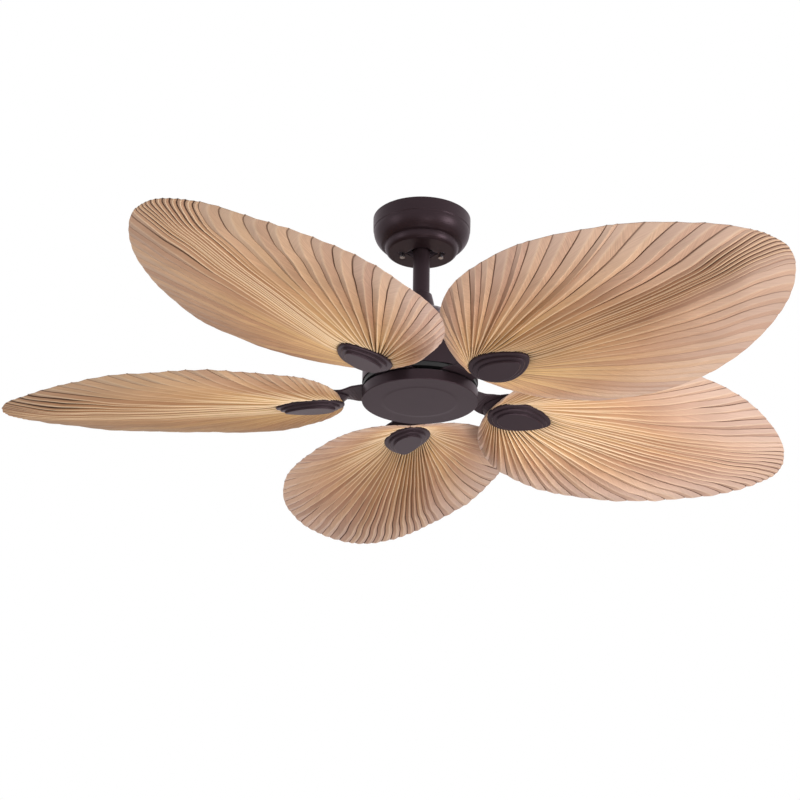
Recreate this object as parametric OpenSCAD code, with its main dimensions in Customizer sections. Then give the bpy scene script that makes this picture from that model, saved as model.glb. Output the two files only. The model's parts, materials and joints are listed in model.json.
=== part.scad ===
// Five-leaf tropical ceiling fan on a short downrod.
// Origin: centre of the hanger bracket's top face, on the ceiling. +Z is up, so the fan hangs below zero.
// Every size is in millimetres.

/* [Fan] */
// Diameter swept by the leaf tips
sweep_d = 1320; // [1100:10:1500]
// Ceiling to the lowest face of the hub plate
total_drop = 312; // [300:1:420]
// Compass turn of leaf 1 about the shaft, from +X towards +Y
rotor_turn = 97.1; // [0:0.1:360]

/* [Ceiling bracket] */
// Length of the bracket's top plate
bracket_l = 108; // [104:1:120]
// Width of the bracket's top plate and legs
bracket_w = 38; // [32:1:42]
// Sheet thickness of the bracket
bracket_t = 2.5; // [2:0.1:3.5]
// Distance between the outer faces of the two legs
bracket_span = 84; // [80:1:90]
// Distance between the two ceiling slots
slot_spacing = 79.4; // [76:0.1:82]
// Width of a ceiling slot
slot_w = 5.2; // [4.6:0.1:6]
// End-to-end length of a ceiling slot
slot_l = 15; // [12:0.5:16]
// Diameter of the wire hole in the top plate
wire_hole_d = 22; // [14:1:28]
// Width of the side entry that lets the downrod into the seat
seat_entry_w = 31; // [30:0.5:33]

/* [Hanger ball] */
// Diameter of the hanger ball
ball_d = 42; // [40:0.5:46]
// Depth of the ball's centre below the ceiling
ball_depth = 36; // [34:0.5:38]
// Gap between ball and seat
ball_gap = 0.3; // [0.2:0.05:0.5]
// Width of the ball's locking groove
groove_w = 5; // [4:0.5:7]

/* [Downrod] */
// Outer diameter of the downrod
rod_d = 26; // [24:0.1:27]
// Wall of the downrod
rod_wall = 2.8; // [2:0.1:4]
// Diameter of the cross pins
pin_d = 5.8; // [4:0.1:7]

/* [Canopy] */
// Diameter of the canopy's upper rim
canopy_d = 152.4; // [148:0.2:170]
// Height of the canopy
canopy_h = 58.5; // [58:0.5:70]
// Shadow gap between the canopy and the ceiling
canopy_gap = 2; // [1:0.5:4]
// Height of the straight band under the rim
band_h = 21; // [12:0.5:23]
// Wall of the canopy
canopy_wall = 1; // [0.8:0.1:1.5]
// Height of the lower ring
lower_ring_h = 12.5; // [9:0.5:16]
// Diameter of the lower ring, below the groove
lower_ring_d = 115.5; // [110:0.5:124]
// Diameter of the flat bottom
canopy_flat_d = 102.5; // [98:0.5:106]
// Diameter of the opening for the downrod
opening_d = 39; // [38:0.5:42]
// Distance between the two canopy screws, seen from below
canopy_screw_span = 60; // [56:1:62]
// Turn of a keyhole from its entry to its narrow end
keyhole_turn = 18; // [14:1:24]

/* [Coupling] */
// Height of the coupling cover
cover_h = 37.5; // [36:0.5:52]
// Diameter of the coupling cover at its foot
cover_foot_d = 57; // [54:0.5:62]
// Outer diameter of the yoke's sleeve
yoke_d = 34; // [33:0.1:35]
// Diameter of the yoke's flange
yoke_flange_d = 86; // [84:1:88]
// Thickness of the yoke's flange
yoke_flange_t = 6; // [4:0.5:8]

/* [Motor housing] */
// Outer diameter of the motor housing
housing_d = 175; // [172:1:190]
// Height of the motor housing
housing_h = 112; // [110:1:135]
// Height of the housing's straight wall
housing_straight = 56; // [40:1:70]
// Diameter of the housing's flat top
housing_flat_d = 88; // [88:1:104]
// How far round the shoulder's curve runs before it meets the flat top, in degrees
shoulder_turn = 66; // [56:1:90]
// Wall of the housing
housing_wall = 1.2; // [1:0.1:2]
// Running gap between the housing's rim and the flywheel
rim_gap = 1; // [0.8:0.1:3]

/* [Motor] */
// Diameter of the motor shaft
shaft_d = 15; // [14:0.5:16]
// Wire bore of the motor shaft
shaft_bore_d = 8; // [6:0.5:9]
// Diameter of the rotor shells
rotor_d = 152; // [148:1:160]
// Height of the laminated stack
stack_h = 24; // [18:1:28]
// Diameter of the stator
stator_d = 118; // [112:1:122]
// Air gap between stator and rotor
air_gap = 0.6; // [0.4:0.1:1]
// Number of stator teeth
teeth = 18; // [12:2:24]
// Outer diameter of a bearing
bearing_d = 35; // [32:1:38]
// Width of a bearing
bearing_w = 11; // [9:1:12]

/* [Flywheel and hub plate] */
// Thickness of the flywheel
flywheel_t = 6.5; // [5:0.5:9]
// How far the flywheel stays inside the housing's outline
flywheel_inset = 1.5; // [1:0.5:4]
// Height of the hub plate's side wall
hub_plate_h = 16.5; // [13:0.5:18]
// Diameter of the hub plate's raised centre
hub_centre_d = 112; // [90:1:130]
// Wall of the hub plate
hub_plate_wall = 1.2; // [1:0.1:2]

/* [Blade arms] */
// Thickness of an arm
arm_t = 3; // [2.5:0.1:4]
// Width of an arm's root
arm_root_w = 60; // [50:1:62]
// Distance from the shaft to the inner end of an arm
arm_inner = 48; // [46:0.5:50]
// Distance from the shaft to where an arm starts to twist
arm_bend = 96; // [92:1:100]
// Width of an arm where it has twisted into the leaf's pitch
arm_neck_w = 54; // [44:1:58]
// Height of an arm's lower face above the hub plate's lowest face
arm_rise = 19.8; // [19.5:0.1:22]
// Length of the egg-shaped holder at an arm's end
holder_l = 116; // [112:1:122]
// Width of the holder
holder_w = 76; // [72:1:84]
// Height of the holder between the arm's plate and the leaf
holder_h = 8; // [6:0.5:9]
// Wall of the hollow holder
holder_wall = 4; // [3:0.5:6]

/* [Palm leaves] */
// Distance from the shaft to the root edge of a leaf
leaf_inner = 114; // [108:1:125]
// Width of a leaf
leaf_w = 379; // [320:1:400]
// How much wider a leaf is towards its root
leaf_taper = 0.21; // [0:0.01:0.3]
// Sharpness of the leaf's ends
leaf_point = 1.13; // [1:0.01:1.3]
// Pitch of a leaf about its arm, leading edge high
leaf_pitch = 10.4; // [0:0.1:14]
// Droop of a leaf towards its tip
leaf_droop = 0.4; // [0:0.1:3]
// Number of pleats in a leaf
pleats = 60; // [24:2:60]
// Half-height of a pleat at its deepest
pleat_h = 3; // [1:0.1:4]
// Half-height of a pleat at the leaf's edge
pleat_edge_h = 1.4; // [0.5:0.1:2]
// Thickness of the leaf
leaf_t = 1.2; // [0.8:0.1:2]
// Rise of the leaf's edge above the clamped heart
leaf_cup = 8; // [0:0.5:12]
// Height of the clamped heart above the hub plate's lowest face, at the shaft
leaf_rise = 9.9; // [8:0.1:11]

/* [Leaf caps] */
// Distance from the shaft to the centre of a cap
cap_centre = 170; // [166:1:180]
// Length of a cap
cap_l = 107; // [90:1:110]
// Width of a cap
cap_w = 72; // [60:1:80]
// How much wider a cap is towards the shaft
cap_taper = 0.26; // [0:0.01:0.3]
// Sharpness of a cap's tip
cap_point = 1.2; // [1:0.01:1.3]
// Height of one of the cap's three tiers
tier_h = 3.7; // [2.5:0.1:4.5]
// Inset of each tier from the one above it
tier_inset = 7; // [5:0.5:9]

/* [Hidden] */
$fn = 64;

bronze = "#4b4144";
dark_bronze = "#2b2628";
steel = "#b9bcc0";
palm = "#cfae8c";

blades = 5;
eps = 0.5;              // overrun of a cut past the face it opens
fit_gap = 0.1;          // radial gap of a part slid over another
bearing_gap = 0.03;     // radial gap of a running bore on the shaft

// Heights, all measured from the ceiling
low_z = -total_drop;
arm_z = low_z + arm_rise;
flywheel_z = arm_z + arm_t;
rotor_z = flywheel_z + flywheel_t;
housing_rim_z = rotor_z + rim_gap;
housing_top_z = housing_rim_z + housing_h;
cover_top_z = housing_top_z + cover_h;
ball_z = -ball_depth;
canopy_z = -canopy_gap - canopy_h;

// Radii
rod_r = rod_d / 2;
ball_r = ball_d / 2;
shaft_r = shaft_d / 2;
yoke_r = yoke_d / 2;
rotor_r = rotor_d / 2;
housing_r = housing_d / 2;
flywheel_r = housing_r - flywheel_inset;
bearing_r = bearing_d / 2;
tip_r = sweep_d / 2;

ground_screw_x = -(bracket_l + bracket_span) / 4;
ground_screw_y = bracket_w / 2 - 6;
canopy_screw_y = canopy_screw_span / 2 * tan(keyhole_turn);

// Ball, seat and rod end
ball_top = 14;          // the ball is cut flat this far above its centre
ball_foot = 16;         // and this far below it
seat_r = ball_r + ball_gap;
seat_depth = 12;        // the dish reaches this far below the ball's centre
seat_wall = 5;
seat_z = ball_z - seat_depth - bracket_t;
seat_hole_r = rod_r + 5.2;
tab_h = 5;              // the tab that stops the ball from turning
tab_reach = 2.5;
tab_gap = 0.5;
groove_depth = tab_reach + ball_gap + 2;
rod_top_z = ball_z + ball_top + 6;
ball_pin_z = ball_z + 6;
pin_r = pin_d / 2;
set_screw_r = 2.5;
set_screw_z = ball_z - 5;

// Yoke and shaft
yoke_sleeve_top = cover_top_z - 11;
yoke_socket = 32;       // depth of the downrod in the sleeve
rod_foot_z = yoke_sleeve_top - yoke_socket;
flange_top_z = housing_top_z - housing_wall;
flange_z = flange_top_z - yoke_flange_t;
yoke_boss_h = 16;
yoke_boss_z = flange_z - yoke_boss_h;
yoke_boss_r = shaft_r + 7;
yoke_pin_z = yoke_sleeve_top - 12;
clip_r = 0.8;
clip_place = yoke_r + clip_r + 0.2;
pin_head_t = 1.2;
pin_end = clip_place + clip_r + 0.4;
cap_box = [18, 44, 30]; // the capacitor's body
cap_box_x = yoke_boss_r + 3;

// Motor stack
shell_t = 3;
shell_wall = 6;
bearing_lip = 1.5;
winding_h = 8;
winding_gap = 4;        // between a winding and the shell's floor
lower_floor_z = rotor_z + shell_t;
stack_z = lower_floor_z + winding_gap + winding_h;
stack_top_z = stack_z + stack_h;
rotor_top_z = stack_top_z + winding_h + winding_gap + shell_t;
lower_bearing_z = rotor_z + bearing_lip;
upper_bearing_z = rotor_top_z - bearing_lip - bearing_w;
shoulder_r = shaft_r + 1.5;
shoulder_z = lower_bearing_z + bearing_w + fit_gap;
shoulder_top_z = upper_bearing_z - fit_gap;
pocket_r = bearing_r + 4.5;
ring_r = stator_d / 2 + air_gap;
slot_depth = 20;        // of a stator slot
slot_deg = 360 / teeth * 0.45;
winding_r = stator_d / 2 - 4;
winding_inner_r = winding_r - slot_depth;
circlip_t = 1.2;
circlip_r = shaft_r + 2.2;
vent_r = 6;
vent_place_r = (pocket_r + rotor_r - shell_wall) / 2;

// Hub plate, its carrier and the shaft's end
carrier_t = 2;
carrier_z = low_z + 8.5;
carrier_top_z = carrier_z + carrier_t;
hub_inner_r = housing_r - hub_plate_wall;
carrier_r = hub_inner_r - 1.8;
hook_l = 4.6;           // reach of a hook over the carrier
hook_w = 12;
hook_t = 1.5;
hooks = 3;
hook_turn = 30;
thread_r = shaft_r - 1.5;
washer_t = 1.2;
nut_t = 5;
nut_r = 11;
shaft_foot_z = carrier_z - washer_t - nut_t - 0.6;
hub_step = 0.5;         // how far the hub plate's centre stands proud
hub_bevel = 1;

// Screws
screw_r = 2;
screw_head_r = 4;
screw_head_h = 2.5;
screw_hole_r = screw_r + 0.3;
head_seat = 0.05;       // under every screw head
canopy_screw_r = norm([canopy_screw_span / 2, canopy_screw_y]);
keyhole_r = 4.6;
keyhole_slot_w = 2 * screw_r + 0.2;
housing_screw_place = housing_flat_d / 2 - 7;
flywheel_screw_place = 47;
rotor_screw_place = rotor_r - shell_wall / 2;
arm_screw_in = arm_inner + (arm_bend - arm_inner) * 0.2;
arm_screw_out = arm_inner + (arm_bend - arm_inner) * 0.54;
arm_screw_y = arm_root_w * 0.31;

// Leaf and cap
heart_t = 3;            // thickness of the leaf where it is clamped
arm_land = 118;         // where the arm has reached the leaf's pitch
arm_lift = heart_t / 2 + holder_h;
holder_x = cap_centre - 4;
holder_post_r = screw_r + 2.5;
heart_scale = 0.62;     // the leaf is cut out inside this share of the cap
rim_scale = 1.05;       // the pleats start at this share of the cap
deep_share = 0.3;       // and are deepest this far from cap to edge
leaf_screw_x = [cap_centre - cap_l * 0.17, cap_centre - cap_l * 0.17, cap_centre + cap_l * 0.19];
leaf_screw_y = [cap_w * 0.155, -cap_w * 0.155, 0];
tier_bevel = 1.2;       // round the lower edge of a tier
shelf_fall = 0.4;       // from the edge of a shelf to the next tier
cap_screw_depth = tier_h * 2;
scallop = 0.004;        // reach of a ridge past a valley at the edge, as a share of the leaf

// ---- helpers ----

// Points of an elliptical arc about [cx, cz] from angle a0 to angle a1
function arc(cx, cz, rx, rz, a0, a1, n) =
    [for (i = [0:n]) let (a = a0 + (a1 - a0) * i / n) [cx + rx * cos(a), cz + rz * sin(a)]];

// Closed profile of a wall of thickness t behind an open line of points, on the line's left hand
function walled(line, t) =
    let (last = len(line) - 1)
    concat(line, [for (i = [last:-1:0])
        let (d = line[min(i + 1, last)] - line[max(i - 1, 0)], l = norm(d))
        line[i] + t * [-d[1], d[0]] / l]);

// Egg-shaped outline of length l and width w about the origin, blunt towards -X, at parameter a
function egg(l, w, a, taper, point) =
    [l / 2 * cos(a), w / 2 * sign(sin(a)) * pow(abs(sin(a)), point) * (1 - taper * cos(a))];

function leaf_egg(l, w, a) = egg(l, w, a, leaf_taper, leaf_point);
function cap_egg(l, w, a) = egg(l, w, a, cap_taper, cap_point);

module ring(outer, inner, h) {
    difference() {
        cylinder(r = outer, h = h);
        translate([0, 0, -eps]) cylinder(r = inner, h = h + 2 * eps);
    }
}

// A pan-head screw standing on its head's seat, shank down
module screw(shank, r = screw_r, head_r = screw_head_r, head_h = screw_head_h) {
    translate([0, 0, -shank]) cylinder(r = r, h = shank + head_seat, $fn = 24);
    translate([0, 0, head_seat]) cylinder(r = head_r, h = head_h, $fn = 24);
}

// A hole for a pin of radius r, along X through the shaft's axis at height z
module cross_hole(z, r, l) {
    translate([0, 0, z]) rotate([0, 90, 0]) cylinder(r = r + fit_gap, h = l, center = true);
}

// Copies what follows to n even turns about the shaft
module around(n, turn = 0) {
    for (i = [0:n - 1]) rotate([0, 0, turn + 360 * i / n]) children();
}

// Turns what follows to the arm of blade k
module at_blade(k) {
    rotate([0, 0, rotor_turn - 360 / blades * (k - 1)]) children();
}

// The clamped heart's plane: pitched about the arm and drooping outwards
module in_leaf_frame() {
    translate([0, 0, low_z + leaf_rise]) rotate([0, leaf_droop, 0]) rotate([-leaf_pitch, 0, 0]) children();
}

// ---- ceiling side ----

module hanger_bracket() {
    color("#8d8f92") difference() {
        union() {
            translate([-bracket_l / 2, -bracket_w / 2, -bracket_t]) cube([bracket_l, bracket_w, bracket_t]);
            for (side = [-1, 1])
                translate([side * (bracket_span - bracket_t) / 2 - bracket_t / 2, -bracket_w / 2, seat_z])
                    cube([bracket_t, bracket_w, -seat_z - bracket_t / 2]);
            translate([-bracket_span / 2, -bracket_w / 2, seat_z]) cube([bracket_span, bracket_w, bracket_t]);
            translate([0, 0, seat_z]) cylinder(r = seat_r + seat_wall, h = ball_z - seat_z);
        }
        // ball seat, rod hole and the side entry
        translate([0, 0, ball_z]) sphere(r = seat_r, $fn = 96);
        translate([0, 0, seat_z - eps]) cylinder(r = seat_hole_r, h = bracket_t + 2 * eps);
        translate([-seat_entry_w / 2, -ball_d, seat_z - eps])
            cube([seat_entry_w, ball_d, ball_z - seat_z + 2 * eps]);
        // ceiling slots and the wire hole
        for (side = [-1, 1]) translate([side * slot_spacing / 2, 0, -bracket_t - eps]) ceiling_slot();
        translate([0, 0, -bracket_t - eps]) cylinder(d = wire_hole_d, h = bracket_t + 2 * eps);
        // tapped holes for the canopy screws
        for (side = [-1, 1])
            translate([side * canopy_screw_span / 2, canopy_screw_y, seat_z - eps])
                cylinder(r = screw_r + fit_gap, h = bracket_t + 2 * eps);
        translate([ground_screw_x, ground_screw_y, -bracket_t - eps])
            cylinder(r = screw_r + fit_gap, h = bracket_t + 2 * eps);
    }
    color("#8d8f92") locking_tab();
}

module ceiling_slot() {
    straight = slot_l - slot_w;
    for (end = [-1, 1]) translate([end * straight / 2, 0, 0]) cylinder(d = slot_w, h = bracket_t + 2 * eps);
    translate([-straight / 2, -slot_w / 2, 0]) cube([straight, slot_w, bracket_t + 2 * eps]);
}

// The tab in the seat's back that enters the ball's groove
module locking_tab() {
    tab_w = groove_w - 2 * tab_gap;
    translate([-tab_w / 2, seat_r - tab_reach, ball_z - tab_h])
        cube([tab_w, tab_reach + seat_wall - 1, tab_h]);
}

module ground_screw() {
    color("#4c8a4e") translate([ground_screw_x, ground_screw_y, -bracket_t])
        rotate([180, 0, 0]) screw(bracket_t);
}

// Half outline of the canopy from its rim down to the flat bottom
function canopy_line() = let (
    r = canopy_d / 2,
    groove_z = -canopy_h + lower_ring_h,
    ring_r = lower_ring_d / 2,
    flat_r = canopy_flat_d / 2,
    dome_r = r - 1.2)
    concat(
        [[r, 0], [r - 0.1, -band_h / 2], [r - 0.5, -band_h + 1], [dome_r, -band_h]],
        arc(ring_r - 16, -band_h, dome_r - ring_r + 16, -groove_z - band_h + 6, -8, -50, 7),
        [[ring_r, groove_z]],
        arc(flat_r - 1, groove_z, ring_r - flat_r + 1, lower_ring_h, -8, -70, 6),
        [[flat_r, -canopy_h], [opening_d / 2, -canopy_h]]);

module canopy() {
    color(bronze) difference() {
        translate([0, 0, -canopy_gap]) rotate_extrude($fn = 96) polygon(walled(canopy_line(), -canopy_wall));
        for (side = [0, 1]) mirror([side, 0, 0]) translate([0, 0, canopy_z - eps]) {
            keyhole();
            ear_notch();
        }
    }
}

// A keyhole: round entry on the X axis, narrowing towards +Y
module keyhole() {
    cut_h = canopy_wall + 2 * eps;
    translate([canopy_screw_r, 0, 0]) cylinder(r = keyhole_r, h = cut_h);
    rotate_extrude(angle = keyhole_turn) translate([canopy_screw_r - keyhole_slot_w / 2, 0])
        square([keyhole_slot_w, cut_h]);
    rotate([0, 0, keyhole_turn]) translate([canopy_screw_r, 0, 0]) cylinder(r = screw_hole_r, h = cut_h);
}

// The pointed notch at each side of the canopy's opening
module ear_notch() {
    notch_reach = opening_d / 2 + 6.5;
    notch_w = opening_d * 0.52;
    linear_extrude(canopy_wall + 2 * eps)
        polygon([[opening_d / 2 - 5, -notch_w / 2], [notch_reach, 0], [opening_d / 2 - 5, notch_w / 2]]);
}

module canopy_screws() {
    color(steel) for (side = [-1, 1])
        translate([side * canopy_screw_span / 2, canopy_screw_y, canopy_z])
            rotate([180, 0, 0]) screw(seat_z - canopy_z + bracket_t);
}

// ---- hanging side ----

module hanger_ball() {
    color("#3a3436") difference() {
        intersection() {
            translate([0, 0, ball_z]) sphere(r = ball_r, $fn = 96);
            translate([0, 0, ball_z - ball_foot]) cylinder(r = ball_d, h = ball_foot + ball_top);
        }
        translate([0, 0, ball_z - ball_d]) cylinder(r = rod_r + fit_gap, h = 2 * ball_d);
        cross_hole(ball_pin_z, pin_r, 2 * ball_d);
        translate([0, 0, set_screw_z]) rotate([90, 0, 0])
            cylinder(r = set_screw_r + fit_gap, h = ball_d);
        translate([-groove_w / 2, ball_r - groove_depth, ball_z - ball_d])
            cube([groove_w, ball_d, 2 * ball_d]);
    }
}

module ball_pin() {
    half = sqrt(pow(ball_r, 2) - pow(ball_pin_z - ball_z + pin_r, 2)) - 1;
    color(steel) translate([0, 0, ball_pin_z]) rotate([0, 90, 0])
        cylinder(r = pin_r, h = 2 * half, center = true);
}

module ball_set_screw() {
    reach = sqrt(pow(ball_r, 2) - pow(set_screw_z - set_screw_r - ball_z, 2));
    color(steel) translate([0, -rod_r - fit_gap, set_screw_z]) rotate([90, 0, 0]) difference() {
        cylinder(r = set_screw_r, h = reach - rod_r - fit_gap - 0.5);
        translate([0, 0, reach - rod_r - 3]) cylinder(r = 1.3, h = 4, $fn = 6);
    }
}

module downrod() {
    color(bronze) difference() {
        translate([0, 0, rod_foot_z]) ring(rod_r, rod_r - rod_wall, rod_top_z - rod_foot_z);
        cross_hole(ball_pin_z, pin_r, rod_d + 2);
        cross_hole(yoke_pin_z, pin_r, rod_d + 2);
    }
}

// Half outline of the coupling cover from its neck down to its foot: a round, a cone and a flare
function cover_line() = let (
    neck = rod_r + 1.6,
    foot = cover_foot_d / 2,
    shoulder = yoke_r + 1.6,
    waist = yoke_r + 3.4,
    waist_z = -cover_h * 0.45,
    from = 20,
    to = 82,
    flare = (foot - waist) / (cos(from) - cos(to)),
    flare_h = (cover_h + waist_z - 1.5) / (sin(to) - sin(from)))
    concat(
        [[neck, 0]],
        arc(neck, -2.5, 2.4, 2.5, 60, 0, 3),
        [[shoulder, -9]],
        arc(waist + flare * cos(from), waist_z + flare_h * sin(from), flare, flare_h,
            180 + from, 180 + to, 7),
        [[foot, -cover_h]]);

module coupling_cover() {
    color(bronze) translate([0, 0, cover_top_z]) rotate_extrude()
        polygon(walled(cover_line(), -housing_wall));
}

module motor_yoke() {
    color("#55565a") difference() {
        union() {
            translate([0, 0, flange_z]) cylinder(r = yoke_r, h = yoke_sleeve_top - flange_z);
            translate([0, 0, flange_z]) cylinder(d = yoke_flange_d, h = yoke_flange_t);
            translate([0, 0, yoke_boss_z]) cylinder(r = yoke_boss_r, h = yoke_boss_h + eps);
        }
        translate([0, 0, rod_foot_z]) cylinder(r = rod_r + fit_gap, h = yoke_socket + eps);
        translate([0, 0, yoke_boss_z - eps])
            cylinder(r = shaft_r + fit_gap, h = rod_foot_z - yoke_boss_z + 2 * eps);
        cross_hole(yoke_pin_z, pin_r, yoke_d + 2);
        rotate([0, 0, 90]) cross_hole(yoke_pin_z - 10, set_screw_r, yoke_d + 2);
        around(3) translate([housing_screw_place, 0, flange_z - eps])
            cylinder(r = screw_r + fit_gap, h = yoke_flange_t + 2 * eps);
    }
}

// The pin that carries the motor on the downrod
module yoke_pin() {
    color(steel) translate([0, 0, yoke_pin_z]) rotate([0, 90, 0]) difference() {
        union() {
            translate([0, 0, -yoke_r - pin_head_t]) cylinder(r = pin_r, h = yoke_r + pin_head_t + pin_end);
            translate([0, 0, -yoke_r - pin_head_t]) cylinder(r = pin_r + 0.9, h = pin_head_t);
        }
        translate([0, 0, clip_place]) rotate([0, 90, 0])
            cylinder(r = clip_r + fit_gap, h = 4 * pin_r, center = true, $fn = 24);
    }
}

// The spring clip through the pin's end
module pin_clip() {
    color(steel) translate([clip_place, 0, yoke_pin_z])
        cylinder(r = clip_r, h = pin_d + 4, center = true, $fn = 24);
}

module yoke_set_screws() {
    color(steel) for (side = [-1, 1]) translate([0, side * (rod_r + fit_gap), yoke_pin_z - 10])
        rotate([-side * 90, 0, 0]) cylinder(r = set_screw_r, h = yoke_r - rod_r);
}

module housing_screws() {
    color(steel) around(3) translate([housing_screw_place, 0, housing_top_z]) screw(yoke_flange_t);
}

// Half outline of the motor housing from its flat top down to its rim
function housing_line() = let (
    flat_r = housing_flat_d / 2,
    shoulder_z = housing_straight - housing_h,
    rise = -shoulder_z / sin(shoulder_turn),
    centre_r = (flat_r - housing_r * cos(shoulder_turn)) / (1 - cos(shoulder_turn)))
    concat(
        [[yoke_r + 1, 0]],
        arc(centre_r, shoulder_z, housing_r - centre_r, rise, shoulder_turn, 0, 14),
        [[housing_r, -housing_h]]);

module motor_housing() {
    color(bronze) difference() {
        translate([0, 0, housing_top_z]) rotate_extrude($fn = 96)
            polygon(walled(housing_line(), -housing_wall));
        around(3) translate([housing_screw_place, 0, flange_top_z - eps])
            cylinder(r = screw_hole_r, h = housing_wall + 2 * eps);
    }
}

// ---- motor ----

module motor_shaft() {
    color("#9a9ca0") difference() {
        union() {
            translate([0, 0, carrier_top_z]) cylinder(r = shaft_r, h = rod_foot_z - carrier_top_z);
            translate([0, 0, shaft_foot_z]) cylinder(r = thread_r, h = carrier_top_z - shaft_foot_z + eps);
            translate([0, 0, shoulder_z]) cylinder(r = shoulder_r, h = shoulder_top_z - shoulder_z);
        }
        translate([0, 0, shaft_foot_z - eps])
            cylinder(d = shaft_bore_d, h = rod_foot_z - shaft_foot_z + 2 * eps);
    }
}

module stator_core() {
    color("#6d6f73") difference() {
        translate([0, 0, stack_z]) ring(stator_d / 2, shoulder_r + fit_gap, stack_h);
        around(teeth) translate([0, 0, stack_z - eps]) stator_slot();
    }
}

// One slot between two teeth: a wedge with a narrow mouth at the air gap
module stator_slot() {
    mouth_w = 2.4;
    r = stator_d / 2;
    rotate([0, 0, -slot_deg / 2]) rotate_extrude(angle = slot_deg)
        translate([r - slot_depth - 3, 0]) square([slot_depth, stack_h + 2 * eps]);
    translate([r - 4, -mouth_w / 2, 0]) cube([6, mouth_w, stack_h + 2 * eps]);
}

// Coil ends over each tooth, above and below the stack
module stator_windings() {
    coil_deg = (360 / teeth) * 0.8;
    color("#a8612f") around(teeth, 180 / teeth) for (z = [stack_z - winding_h, stack_top_z])
        translate([0, 0, z]) rotate([0, 0, -coil_deg / 2]) rotate_extrude(angle = coil_deg)
            translate([winding_inner_r, 0]) square([winding_r - winding_inner_r, winding_h]);
}

module capacitor() {
    color("#e4e0d6") translate([cap_box_x, -cap_box[1] / 2, flange_z - cap_box[2]]) cube(cap_box);
}

// The band that holds the capacitor under the yoke's flange
module capacitor_strap() {
    strap_t = 0.8;
    strap_w = 10;
    inner = cap_box + 2 * [fit_gap, 0, fit_gap];
    bottom_z = flange_z - cap_box[2] - fit_gap;
    color(steel) translate([cap_box_x - fit_gap, -strap_w / 2, bottom_z]) difference() {
        translate([-strap_t, 0, -strap_t])
            cube([inner[0] + 2 * strap_t, strap_w, cap_box[2] + fit_gap + strap_t]);
        translate([0, -eps, 0]) cube([inner[0], strap_w + 2 * eps, inner[2] + eps]);
    }
}

module upper_bearing() {
    bearing(upper_bearing_z);
}

module lower_bearing() {
    bearing(lower_bearing_z);
}

// Deep-groove bearing: two races, with the shields filling the gap between them
module bearing(z) {
    race = 4;
    color("#c4c7cb") translate([0, 0, z]) difference() {
        ring(bearing_r, shaft_r + bearing_gap, bearing_w);
        for (face = [-eps, bearing_w - 0.8])
            translate([0, 0, face]) ring(bearing_r - race, shaft_r + race, 0.8 + eps);
    }
}

// Spring rings that keep the bearings on the rotor's bosses
module retaining_rings() {
    color("#77797d") for (z = [rotor_z + 0.1, rotor_top_z - circlip_t - 0.1])
        translate([0, 0, z]) difference() {
            ring(bearing_r + 1.5, bearing_r - 1.6, circlip_t);
            translate([0, -2, -eps]) cube([bearing_d, 4, circlip_t + 2 * eps]);
        }
}

// ---- rotor ----

// A rotor shell: floor, outer wall and bearing pocket, drawn floor down
module rotor_shell(wall_h) {
    difference() {
        union() {
            cylinder(r = rotor_r, h = shell_t);
            ring(rotor_r, rotor_r - shell_wall, wall_h);
            cylinder(r = pocket_r, h = bearing_lip + bearing_w);
        }
        translate([0, 0, -eps]) cylinder(r = circlip_r + 1, h = bearing_w * 2);
        translate([0, 0, bearing_lip]) cylinder(r = bearing_r + fit_gap / 2, h = bearing_w + eps);
        translate([0, 0, -eps]) cylinder(r = bearing_r + 1.6, h = bearing_lip + eps);
        around(blades) translate([vent_place_r, 0, -eps]) cylinder(r = vent_r, h = shell_t + 2 * eps);
        around(4, 45) translate([rotor_screw_place, 0, -eps])
            cylinder(r = screw_r + fit_gap, h = wall_h + 2 * eps);
    }
}

module rotor_lower_shell() {
    color("#7d7f83") difference() {
        translate([0, 0, rotor_z]) rotor_shell(stack_z - rotor_z);
        around(blades, rotor_turn + 180 / blades)
            translate([flywheel_screw_place, 0, rotor_z - eps])
                cylinder(r = screw_r + fit_gap, h = shell_t + 2 * eps);
    }
}

module rotor_upper_shell() {
    color("#7d7f83") translate([0, 0, rotor_top_z]) mirror([0, 0, 1]) rotor_shell(rotor_top_z - stack_top_z);
}

module rotor_ring() {
    color("#5c5e62") difference() {
        translate([0, 0, stack_z]) ring(rotor_r, ring_r, stack_h);
        around(4, 45) translate([rotor_screw_place, 0, stack_z - eps])
            cylinder(r = screw_r + fit_gap, h = stack_h + 2 * eps);
    }
}

module rotor_screws() {
    color(steel) around(4, 45) translate([rotor_screw_place, 0, rotor_top_z]) screw(rotor_top_z - rotor_z);
}

module flywheel() {
    color("#1d1b1c") difference() {
        translate([0, 0, flywheel_z]) ring(flywheel_r, pocket_r + 2, flywheel_t);
        around(blades, rotor_turn + 180 / blades) translate([flywheel_screw_place, 0, flywheel_z - eps])
            cylinder(r = screw_hole_r, h = flywheel_t + 2 * eps);
        for (k = [1:blades]) at_blade(k) arm_screw_places() translate([0, 0, flywheel_z - eps])
            cylinder(r = screw_r + fit_gap, h = flywheel_t + 2 * eps);
    }
}

module flywheel_screws() {
    color(steel) around(blades, rotor_turn + 180 / blades)
        translate([flywheel_screw_place, 0, flywheel_z]) rotate([180, 0, 0]) screw(flywheel_t + shell_t);
}

// ---- hub plate ----

module hub_carrier() {
    color("#8d8f92") difference() {
        translate([0, 0, carrier_z]) ring(carrier_r, thread_r + fit_gap, carrier_t);
        around(hooks, hook_turn + 30) translate([carrier_r - hook_l, -hook_w / 2 - 1, carrier_z - eps])
            cube([hook_l + 2, hook_w + 2, carrier_t + 2 * eps]);
    }
}

module shaft_washer() {
    color(steel) translate([0, 0, carrier_z - washer_t]) ring(nut_r, thread_r + fit_gap, washer_t);
}

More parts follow.
